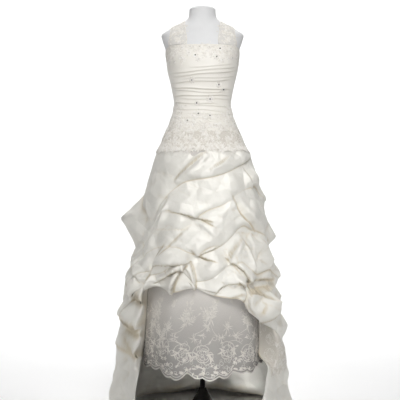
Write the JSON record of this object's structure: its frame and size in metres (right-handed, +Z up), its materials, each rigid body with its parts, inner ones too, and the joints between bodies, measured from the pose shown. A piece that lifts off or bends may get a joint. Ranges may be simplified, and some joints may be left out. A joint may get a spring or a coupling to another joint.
{
  "type": "wedding dress on a dress form",
  "caption": "Ivory wedding dress with a ruched bodice, lace straps, picked-up taffeta overskirt and embroidered net underskirt, standing on a limbless dress form with a round foot.",
  "frame": {"origin": "centre of the foot's flat underside, on the floor", "axes": "+Z up along the pole, the dress faces -Y, the train runs back along +Y, +X to the viewer's right"},
  "size_m": [0.7383, 0.9618, 1.6263],
  "materials": {
    "ivory_satin": "ivory satin with a soft sheen",
    "ivory_taffeta": "crisp ivory taffeta with a satin sheen",
    "ivory_lace": "matt ivory lace with flowers and leaves",
    "embroidered_net": "sheer ivory net with embroidered sprigs",
    "plain_lining": "plain matt grey-ivory lining",
    "form_cover": "smooth white, matt",
    "dark_metal": "dark painted metal, half gloss"
  },
  "bodies": {
    "root": {"bodice_front": "ivory_satin", "bodice_back_left": "ivory_satin", "bodice_back_right": "ivory_satin", "strap_left": "ivory_lace", "strap_right": "ivory_lace", "lace_band_front": "ivory_lace", "lace_band_back": "ivory_lace", "overskirt_front": "ivory_taffeta", "overskirt_left": "ivory_taffeta", "overskirt_right": "ivory_taffeta", "overskirt_back_left": "ivory_taffeta", "overskirt_back_right": "ivory_taffeta", "underskirt_front": "embroidered_net", "underskirt_back": "embroidered_net", "underskirt_lining_front": "plain_lining", "underskirt_lining_back": "plain_lining", "form_torso": "form_cover", "form_neck_cap": "form_cover", "stand_pole": "dark_metal", "stand_foot": "dark_metal"}
  },
  "joints": []
}
